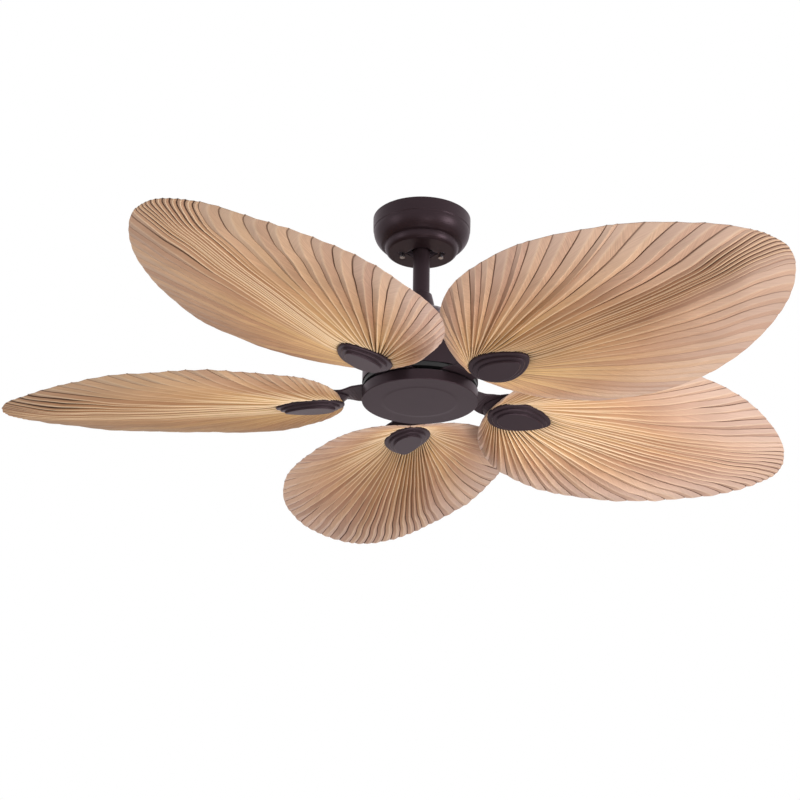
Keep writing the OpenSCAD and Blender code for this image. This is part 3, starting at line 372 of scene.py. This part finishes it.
def dried_palm_leaf():
    """Dried palm leaf: tan blades with fine veins, creases in painted shade, ridges with painted highlights.

    The UV map runs with the folds: U is the place, V goes from the cap's heart to the edge."""
    material, tree, shader = new_material("dried_palm_leaf")
    uv = add(tree, "ShaderNodeUVMap", uv_map="UVMap")
    uv = add(tree, "ShaderNodeSeparateXYZ", {"Vector": uv})
    place = uv.outputs["X"]
    out = uv.outputs["Y"]
    folds = add(tree, "ShaderNodeMath", {0: place, 1: PLEATS}, operation="MULTIPLY")
    number = add(tree, "ShaderNodeMath", {0: folds}, operation="FLOOR")
    phase = add(tree, "ShaderNodeMath", {0: folds}, operation="FRACT")
    away = add(tree, "ShaderNodeMath", {0: phase, 1: 0.5}, operation="SUBTRACT")
    away = add(tree, "ShaderNodeMath", {0: away}, operation="ABSOLUTE")
    lively = liveliness(tree, place)
    crowded = crowded_folds(tree, place, out)
    veins = leaf_veins(tree, out, number, away)
    tan = leaf_tan(tree, place, out, number, phase, veins)
    # the blade is browner where the folds crowd, and a painted highlight makes it paler along its ridges
    browner = add(tree, "ShaderNodeMath", {0: crowded, 1: 0.5}, operation="MULTIPLY")
    tan = add(tree, "ShaderNodeMix", {"Factor": browner, "A": tan, "B": linear("#9c693f")},
              data_type="RGBA").outputs["Result"]
    ridge = ridge_highlight_share(tree, out, away, lively, crowded)
    ridge_highlighted = add(tree, "ShaderNodeMix", {"Factor": ridge, "A": tan, "B": linear("#f0d6b4")},
                 data_type="RGBA").outputs["Result"]
    # painted shade: almost black where a crease goes in under the cap, dark again where the folds crowd
    inner = add(tree, "ShaderNodeMapRange", {"Value": out, "From Min": 0.1, "From Max": 0.3})
    dark = add(tree, "ShaderNodeMix", {"Factor": inner, "A": linear("#26150b"), "B": linear("#4a2a14")},
               data_type="RGBA").outputs["Result"]
    dark = add(tree, "ShaderNodeMix", {"Factor": crowded, "A": dark, "B": linear("#301809")},
               data_type="RGBA").outputs["Result"]
    # the painted shade in the creases goes over the blade's colour
    shade_in_creases = crease_shade_share(tree, out, number, away, lively, crowded)
    colour = add(tree, "ShaderNodeMix", {"Factor": shade_in_creases, "A": ridge_highlighted, "B": dark}, data_type="RGBA")
    bump = add(tree, "ShaderNodeBump", {"Height": veins, "Strength": 0.35, "Distance": 0.4 * MM})
    tree.links.new(colour.outputs["Result"], shader.inputs["Base Color"])
    tree.links.new(bump.outputs["Normal"], shader.inputs["Normal"])
    shader.inputs["Roughness"].default_value = 0.72
    shader.inputs["Specular IOR Level"].default_value = 0.3
    return material


palm = dried_palm_leaf()
FINISH = {
    "bronze_enamel": bronze_powder_coat(),
    # dull grey, a little cloudy
    "galvanised_steel": worked_metal("galvanised_sheet", "#a9acae", "#8c8f92", 0.45),
    # bright and faintly blue
    "zinc_fastener": worked_metal("bright_zinc_plate", "#d4d6d9", "#b5b8bc", 0.28),
    # a green dye that lets the steel shine through
    "green_fastener": worked_metal("green_dyed_steel", "#4a8f52", "#3a7a43", 0.4, 0.6),
    # black with a soft gloss
    "black_nylon": moulded_plastic("black_nylon", "#1e1c1d", 0.5),
    # dark and nearly matt
    "cast_iron_yoke": worked_metal("machined_cast_iron", "#5a5a5c", "#434345", 0.6, 0.9),
    # clean and shiny
    "ground_steel": worked_metal("ground_steel", "#b4b7ba", "#9a9da1", 0.25),
    # grey and dull, as cut sheet edges are
    "lamination_steel": worked_metal("stacked_laminations", "#75777a", "#595b5e", 0.5),
    # warm under clear varnish
    "copper_winding": worked_metal("varnished_copper", "#b0662f", "#8a4c20", 0.35),
    # off-white with some gloss
    "capacitor_case": moulded_plastic("capacitor_case", "#e0dccf", 0.35),
    # pale grey and satin
    "cast_aluminium": worked_metal("die_cast_aluminium", "#a4a6a9", "#8d8f92", 0.5),
    # black and nearly matt
    "black_cast_aluminium": moulded_plastic("black_coated_casting", "#141314", 0.55),
    "palm_leaf": palm,
}
for row in frame["record"]["subparts"]:
    cad = nodes[row["node"]]
    cad.data.materials.clear()
    cad.data.materials.append(FINISH[row["material_slot"]])


# ---- palm leaves ----

def cap_outline(scale):
    """The cap's outline at a scale, in the leaf's frame."""
    steps = 160
    return [Vector((CLAMP, 0, 0))
            + egg(CAP_L * scale, CAP_W * scale, math.tau * i / steps, CAP_TAPER, CAP_POINT)
            for i in range(steps)]


def edge_outline(habit):
    """A leaf's edge in the leaf's frame, with its own turn, pitch, slope and size."""
    steps = 240
    length = SWEEP_R - LEAF_INNER
    points = []
    for i in range(steps):
        a = math.tau * i / steps
        # 1 at the root, fading out on either side of it
        at_root = max(0, -math.cos(a)) ** 8
        curled = habit.curl * MM * CURL_PEAK * at_root * max(0, math.sin(a))
        p = Vector((LEAF_INNER + length / 2 - CLAMP, 0, 0)) + egg(length, LEAF_W, a, LEAF_TAPER, LEAF_POINT)
        p.x = p.x * (1 + habit.longer) + habit.root * MM * at_root
        p.y *= 1 + habit.wider
        p.rotate(Matrix.Rotation(math.radians(-habit.turn), 3, "Z"))
        pitched = math.radians(habit.pitch + LEAF_TWIST * (p.x + CLAMP - TWIST_R) / TWIST_R)
        risen = LEAF_CUP - p.y * math.sin(pitched) + p.x * math.sin(math.radians(habit.slope))
        p.z = risen * (1 - at_root)
        points.append(p + Vector((CLAMP - CURL_BACK * curled, 0, curled)))
    return points


def closed_line(name, points):
    """A closed poly curve through the points, for the folds to be strung between."""
    data = bpy.data.curves.new(name, "CURVE")
    data.dimensions = "3D"
    spline = data.splines.new("POLY")
    spline.points.add(len(points) - 1)
    for spot, p in zip(spline.points, points):
        spot.co = (*p, 1)
    spline.use_cyclic_u = True
    return new_object(name, data)


def rib_end(tree, given, u, folds):
    """The share of the way round the edge at which a rib ends. Beside the tip, a dozen crowd together."""
    # about every second fold strays its own way
    spot = add(tree, "ShaderNodeMath", {0: folds, 1: 0.45}, operation="MULTIPLY")
    spot = add(tree, "ShaderNodeCombineXYZ", {"X": spot, "Y": given["Leaf Number"]})
    uneven = add(tree, "ShaderNodeTexNoise", {"Vector": spot, "Scale": 1, "Detail": 1}, noise_dimensions="2D")
    shift = add(tree, "ShaderNodeMapRange", {"Value": uneven, "To Min": -UNEVEN, "To Max": UNEVEN})
    fade = add(tree, "ShaderNodeFloatCurve", {"Value": u}, points=[
        (0, 0), (0.06, 0.6), (0.5, 1), (0.8, 1), (0.86, 0.15), (1, 0)])
    end = add(tree, "ShaderNodeMath", {0: shift, 1: fade, 2: u}, operation="MULTIPLY_ADD")
    # the curve stays within 0 and 1, so it holds the crowding plus a half
    crowd = add(tree, "ShaderNodeFloatCurve", {"Value": u}, points=[
        (0, 0.547), (0.05, 0.45), (0.09, 0.46), (0.14, 0.52), (0.22, 0.64), (0.32, 0.68), (0.5, 0.5),
        (0.78, 0.72), (0.86, 0.817), (0.9, 0.74), (1, 0.547)])
    crowd = add(tree, "ShaderNodeMath", {0: crowd, 1: -0.5}, operation="ADD")
    end = add(tree, "ShaderNodeMath", {0: crowd, 1: given["Crowd"], 2: end}, operation="MULTIPLY_ADD")
    beside = add(tree, "ShaderNodeFloatCurve", {"Value": u}, points=[
        (0, 1), (0.1, 1), (0.24, 0), (0.7, 0), (0.86, 1), (1, 1)])
    end = add(tree, "ShaderNodeMath", {0: beside, 1: given["Crowd Shift"], 2: end}, operation="MULTIPLY_ADD")
    # an end that strays past the seam goes on at its other side
    end = add(tree, "ShaderNodeMath", {0: end, 1: 1}, operation="ADD")
    return add(tree, "ShaderNodeMath", {0: end}, operation="FRACT")


def rib_bend(tree, given, u, t):
    """How far a rib bends sideways on its way out: almost straight from the cap, then bowed."""
    leading = add(tree, "ShaderNodeFloatCurve", {"Value": u}, points=[
        (0, 0.4), (0.08, 0), (0.5, 0), (0.62, 0.1), (0.75, 0.75), (0.85, 1), (0.93, 0.8), (1, 0.4)])
    trailing = add(tree, "ShaderNodeFloatCurve", {"Value": u}, points=[
        (0, 0.6), (0.06, 0.9), (0.13, 1), (0.2, 0.6), (0.3, 0.05), (0.5, 0), (0.9, 0), (0.95, 0.25),
        (1, 0.6)])
    side = 0
    for share, bow, bend in (
            (leading, "Leading Bow", [(0, 0), (0.35, 0.65), (0.65, 1), (0.85, 0.66), (1, 0)]),
            (trailing, "Trailing Bow", [(0, 0), (0.3, 0.4), (0.6, 0.85), (0.76, 1), (0.9, 0.7), (1, 0)])):
        bent = add(tree, "ShaderNodeFloatCurve", {"Value": t}, points=bend, handles="AUTO")
        bent = add(tree, "ShaderNodeMath", {0: bent, 1: share}, operation="MULTIPLY")
        side = add(tree, "ShaderNodeMath", {0: bent, 1: given[bow], 2: side}, operation="MULTIPLY_ADD")
    # the crowded ribs draw together on their way out, then hook round just before the tip
    hooked = add(tree, "ShaderNodeFloatCurve", {"Value": u}, points=[
        (0, 1), (0.1, 1), (0.2, 0.3), (0.4, 0), (0.78, 0), (0.86, 1), (1, 1)])
    hook = add(tree, "ShaderNodeFloatCurve", {"Value": t}, points=[(0, 0), (0.75, 0), (0.93, 1), (1, 0)],
               handles="AUTO")
    hook = add(tree, "ShaderNodeMath", {0: hook, 1: hooked}, operation="MULTIPLY")
    pinched = add(tree, "ShaderNodeFloatCurve", {"Value": u}, points=[
        (0, 1), (0.06, 0.8), (0.12, 0), (0.9, 0), (0.95, 0.6), (1, 1)])
    pinch = add(tree, "ShaderNodeFloatCurve", {"Value": t}, points=[
        (0, 0), (0.4, 0.4), (0.7, 0.9), (0.82, 1), (0.93, 0.6), (1, 0)], handles="AUTO")
    pinch = add(tree, "ShaderNodeMath", {0: pinch, 1: pinched}, operation="MULTIPLY")
    hook = add(tree, "ShaderNodeMath", {0: pinch, 1: PINCH, 2: hook}, operation="MULTIPLY_ADD")
    hook = add(tree, "ShaderNodeMath", {0: hook, 1: given["Crowd"]}, operation="MULTIPLY")
    return add(tree, "ShaderNodeMath", {0: hook, 1: HOOK, 2: side}, operation="MULTIPLY_ADD")


def rib_rise(tree, given, u, t, place, own, ridge, spread):
    """How far a point lies above its straight rib: fold, slow wave and belly.

    A fold is deep just outside the cap, shallower at the edge and pressed flat under the arm."""
    grown = add(tree, "ShaderNodeFloatCurve", {"Value": t}, points=[
        (0, 0.3), (0.03, 0.75), (0.08, 1), (0.3, 1), (0.75, 0.8), (1, 0.2)])
    free = add(tree, "ShaderNodeFloatCurve", {"Value": u}, points=[
        (0, 1), (0.36, 1), (0.45, 0.25), (0.55, 0.25), (0.64, 1), (1, 1)])
    strong = add(tree, "ShaderNodeMapRange", {"Value": own, "To Min": 0.55, "To Max": 1.35})
    height = grown
    for factor in (given["Fold Height"], free, liveliness(tree, place), strong):
        height = add(tree, "ShaderNodeMath", {0: height, 1: factor}, operation="MULTIPLY")
    centred = add(tree, "ShaderNodeMath", {0: ridge, 1: -2, 2: 1}, operation="MULTIPLY_ADD")
    fold = add(tree, "ShaderNodeMath", {0: centred, 1: height}, operation="MULTIPLY")
    # waves about 110 mm long
    wave = add(tree, "ShaderNodeTexNoise", {"Vector": spread, "W": given["Leaf Number"], "Scale": 9,
                                            "Detail": 1}, noise_dimensions="4D")
    wave = add(tree, "ShaderNodeMapRange", {"Value": wave, "To Min": -WAVE, "To Max": WAVE})
    wave = add(tree, "ShaderNodeMath", {0: wave, 1: t}, operation="MULTIPLY")
    rise = add(tree, "ShaderNodeMath", {0: wave, 1: free, 2: fold}, operation="MULTIPLY_ADD")
    hollow = add(tree, "ShaderNodeFloatCurve", {"Value": t}, points=[
        (0, 0), (0.2, 0.45), (0.5, 0.95), (0.65, 1), (0.85, 0.65), (1, 0)])
    hollow = add(tree, "ShaderNodeMath", {0: hollow, 1: free}, operation="MULTIPLY")
    return add(tree, "ShaderNodeMath", {0: hollow, 1: given["Belly"], 2: rise}, operation="MULTIPLY_ADD")


def pleating_tree():
    """Strings folds between the outline at the cap and the leaf's edge."""
    tree = bpy.data.node_groups.new("pleated leaf", "GeometryNodeTree")
    face = tree.interface
    face.new_socket("Leaf", in_out="OUTPUT", socket_type="NodeSocketGeometry")
    for name, kind in (("Heart", "Object"), ("Rim", "Object"), ("Edge", "Object"), ("Pleats", "Int"),
                       ("Rows", "Int"), ("Fold Height", "Float"), ("Leading Bow", "Float"),
                       ("Trailing Bow", "Float"), ("Belly", "Float"), ("Crowd", "Float"),
                       ("Crowd Shift", "Float"), ("Leaf Number", "Float"), ("Material", "Material")):
        face.new_socket(name, in_out="INPUT", socket_type="NodeSocket" + kind)
    given = add(tree, "NodeGroupInput").outputs

    # a flat grid: u runs round the leaf and v outwards
    columns = add(tree, "ShaderNodeMath", {0: given["Pleats"], 1: FOLD_STEPS, 2: 1},
                  operation="MULTIPLY_ADD")
    grid = add(tree, "GeometryNodeMeshGrid", {"Size X": 1, "Size Y": 1, "Vertices X": columns,
                                              "Vertices Y": given["Rows"]})
    spot = add(tree, "ShaderNodeSeparateXYZ", {0: add(tree, "GeometryNodeInputPosition")}).outputs
    u = add(tree, "ShaderNodeMath", {0: spot["X"], 1: 0.5}, operation="ADD", use_clamp=True)
    v = add(tree, "ShaderNodeMath", {0: spot["Y"], 1: 0.5}, operation="ADD", use_clamp=True)

    # place within the fold, with more columns beside its creases, and a number of each fold's own;
    # a point on a crease is nudged into the fold that starts there
    folds = add(tree, "ShaderNodeMath", {0: u, 1: given["Pleats"]}, operation="MULTIPLY")
    nudged = add(tree, "ShaderNodeMath", {0: folds, 1: 0.001}, operation="ADD")
    phase = add(tree, "ShaderNodeMath", {0: nudged}, operation="FRACT")
    number = add(tree, "ShaderNodeMath", {0: nudged}, operation="FLOOR")
    phase = add(tree, "ShaderNodeFloatCurve", {"Value": phase}, points=[
        (0, 0), (0.125, 0.06), (0.25, 0.2), (0.5, 0.5), (0.75, 0.8), (0.875, 0.94), (1, 1)])
    folds = add(tree, "ShaderNodeMath", {0: number, 1: phase}, operation="ADD")
    u = add(tree, "ShaderNodeMath", {0: folds, 1: given["Pleats"]}, operation="DIVIDE", use_clamp=True)
    pair = add(tree, "ShaderNodeCombineXYZ", {"X": number, "Y": given["Leaf Number"]})
    own = add(tree, "ShaderNodeTexWhiteNoise", {"Vector": pair}, noise_dimensions="2D")
    # the last column stays below the next leaf's number
    place = add(tree, "ShaderNodeMath", {0: u, 1: 0.9999, 2: given["Leaf Number"]}, operation="MULTIPLY_ADD")

    # the flat heart under the cap takes the first rows, the free rib the others
    held = add(tree, "ShaderNodeMath", {0: v, 1: HEART_SHARE}, operation="DIVIDE", use_clamp=True)
    t = add(tree, "ShaderNodeMapRange", {"Value": v, "From Min": HEART_SHARE, "From Max": 1})
    ends = []
    for name, factor in (("Heart", u), ("Rim", u), ("Edge", rib_end(tree, given, u, folds))):
        line = add(tree, "GeometryNodeObjectInfo", {"Object": given[name]}).outputs["Geometry"]
        sample = add(tree, "GeometryNodeSampleCurve", {"Curves": line, "Factor": factor})
        ends.append(sample.outputs["Position"])
    heart, rim, edge = ends
    start = add(tree, "ShaderNodeMix", {"Factor": held, 4: heart, 5: rim}, data_type="VECTOR").outputs[1]

    # ridges reach a little past the creases at the edge
    ridge = add(tree, "ShaderNodeFloatCurve", {"Value": phase}, points=[
        (0, 0), (0.06, 0.4), (0.5, 1), (0.94, 0.4), (1, 0)])
    reach = add(tree, "ShaderNodeMath", {0: ridge, 1: RIDGE_REACH, 2: 1 - RIDGE_REACH},
                operation="MULTIPLY_ADD")
    torn = add(tree, "ShaderNodeMath", {0: own, 1: TORN, 2: reach}, operation="MULTIPLY_ADD")
    t = add(tree, "ShaderNodeMath", {0: t, 1: torn}, operation="MULTIPLY")
    straight = add(tree, "ShaderNodeMix", {"Factor": t, 4: start, 5: edge}, data_type="VECTOR",
                   clamp_factor=False).outputs[1]
    side = add(tree, "ShaderNodeCombineXYZ", {"Y": rib_bend(tree, given, u, t)})
    spread = add(tree, "ShaderNodeVectorMath", {0: straight, 1: side}, operation="ADD")
    rise = add(tree, "ShaderNodeCombineXYZ", {"Z": rib_rise(tree, given, u, t, place, own, ridge, spread)})
    raised = add(tree, "ShaderNodeVectorMath", {0: spread, 1: rise}, operation="ADD")

    uv = add(tree, "ShaderNodeCombineXYZ", {"X": place, "Y": v})
    mapped = add(tree, "GeometryNodeStoreNamedAttribute", {"Geometry": grid, "Name": "UVMap", "Value": uv},
                 data_type="FLOAT2", domain="CORNER")
    shaped = add(tree, "GeometryNodeSetPosition", {"Geometry": mapped, "Position": raised})
    joined = add(tree, "GeometryNodeMergeByDistance", {"Geometry": shaped, "Distance": JOINED})
    whole = add(tree, "GeometryNodeRealizeInstances", {"Geometry": joined})
    dressed = add(tree, "GeometryNodeSetMaterial", {"Geometry": whole, "Material": given["Material"]})
    add(tree, "NodeGroupOutput", {0: dressed})
    return tree


def plain_mesh(obj):
    """The evaluated mesh of an object, with its modifiers taken off."""
    made = bpy.data.meshes.new_from_object(obj.evaluated_get(bpy.context.evaluated_depsgraph_get()))
    obj.modifiers.clear()
    return made


def palm_leaf(k, tree):
    """Leaf k: folds strung from the cap to the edge, given their thickness, then set on its arm."""
    habit = LEAF_HABIT[k]
    lines = {"Heart": closed_line("heart", cap_outline(HEART_SIZE)),
             "Rim": closed_line("rim", cap_outline(RIM_SIZE)),
             "Edge": closed_line("edge", edge_outline(habit))}
    values = {**lines, "Pleats": PLEATS, "Rows": ROWS, "Fold Height": FOLD_H,
              "Leading Bow": habit.leading_bow * MM, "Trailing Bow": habit.trailing_bow * MM, "Belly": BELLY,
              "Crowd": CROWD * habit.crowd, "Crowd Shift": 0.001 * habit.crowd_shift, "Leaf Number": k,
              "Material": palm}
    rig = new_object("rig", bpy.data.meshes.new("leaf"))
    maker = rig.modifiers.new("pleats", "NODES")
    maker.node_group = tree
    for item in tree.interface.items_tree:
        if item.in_out == "INPUT":
            maker[item.identifier] = values[item.name]
    rig.data = plain_mesh(rig)
    skin = rig.modifiers.new("thickness", "SOLIDIFY")
    skin.thickness = LEAF_T
    skin.offset = 0
    mesh = plain_mesh(rig)
    for scaffold in (rig, *lines.values()):
        bpy.data.objects.remove(scaffold)
    mesh.transform(leaf_frame(k))
    mesh.shade_smooth()
    mesh.set_sharp_from_angle(angle=math.radians(CRISP))
    mesh.name = f"palm_leaf_{k}"
    mesh.materials.clear()
    mesh.materials.append(palm)
    leaf = new_object(mesh.name, mesh)
    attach(leaf, "rotor")
    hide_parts(f"leaf_{k}")


pleats = pleating_tree()
for k in LEAF_HABIT:
    palm_leaf(k, pleats)


# ---- light, floor and background ----

def softbox(name, place, aim, size, power):
    """A rectangular area light that the camera doesn't see."""
    light = bpy.data.lights.new(name, "AREA")
    light.shape = "RECTANGLE"
    light.size, light.size_y = size
    light.energy = power
    obj = new_object(name, light)
    obj.location = place
    obj.rotation_euler = (Vector(aim) - Vector(place)).to_track_quat("-Z", "Y").to_euler()
    obj.visible_camera = False


softbox("left_box", (-2.4, -1.2, -0.35), (0, 0, -0.2), (0.7, 1.6), 12)
softbox("right_box", (2.4, -1.2, -0.55), (0, 0, -0.2), (0.7, 1.2), 40)
softbox("front_box", (1.1, -3.2, -2.1), (0, 0, -0.3), (1.4, 0.8), 32)
softbox("low_box", (0.5, -0.3, -2.3), (0, 0, -0.3), (2.2, 2.2), 46)
softbox("top_box", (0.3, 0.6, 2.2), (0, 0, -0.3), (2.4, 2.4), 50)

# the background is white to the camera and in reflections, and dimmer as a light
world = bpy.data.worlds.new("studio")
scene.world = world
world.use_nodes = True
sky = world.node_tree
sky.nodes.clear()
path = add(sky, "ShaderNodeLightPath").outputs
seen = path["Is Camera Ray"]
for ray in ("Is Glossy Ray", "Is Transmission Ray"):
    seen = add(sky, "ShaderNodeMath", {0: seen, 1: path[ray]}, operation="MAXIMUM")
level = add(sky, "ShaderNodeMapRange", {"Value": seen, "To Min": 0.3, "To Max": 1})
glow = add(sky, "ShaderNodeBackground", {"Color": linear("#ffffff"), "Strength": level})
add(sky, "ShaderNodeOutputWorld", {"Surface": glow})

FLOOR_Z = -2.4
FLOOR_HALF = 6.0
floor_mesh = bpy.data.meshes.new("floor")
corners = [(x * FLOOR_HALF, y * FLOOR_HALF, FLOOR_Z) for x, y in ((-1, -1), (1, -1), (1, 1), (-1, 1))]
floor_mesh.from_pydata(corners, [], [(0, 1, 2, 3)])
floor_paint, _, floor_shader = new_material("pale_floor")
floor_shader.inputs["Base Color"].default_value = linear("#f1f0ee")
floor_shader.inputs["Roughness"].default_value = 0.9
floor_mesh.materials.append(floor_paint)
new_object("floor", floor_mesh)
scene.view_settings.view_transform = "Standard"
